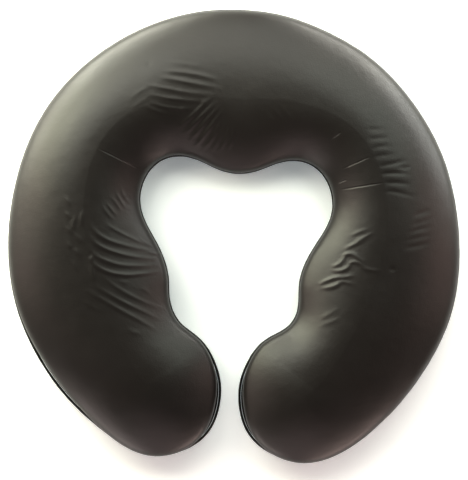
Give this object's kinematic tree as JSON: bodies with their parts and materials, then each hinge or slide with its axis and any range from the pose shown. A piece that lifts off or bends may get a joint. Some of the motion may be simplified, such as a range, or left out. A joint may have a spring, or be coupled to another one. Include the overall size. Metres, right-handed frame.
{
  "type": "face cradle cushion",
  "caption": "Horseshoe-shaped black gel pad for a massage table's face cradle, domed on the face side and flat on the back.",
  "frame": {"origin": "middle of the footprint, on the underside of the back film", "axes": "+Z out of the domed face side, +Y towards the forehead end, -Y towards the chin gap between the two arm ends, X from arm to arm"},
  "size_m": [0.284, 0.282, 0.0362],
  "materials": {
    "top_film": "satin",
    "gel": "satin",
    "back_film": "matte",
    "fused_edge": "satin"
  },
  "bodies": {
    "root": {"top_skin": "top_film", "gel_core": "gel", "back_skin": "back_film", "rim_bead": "fused_edge"}
  },
  "joints": []
}
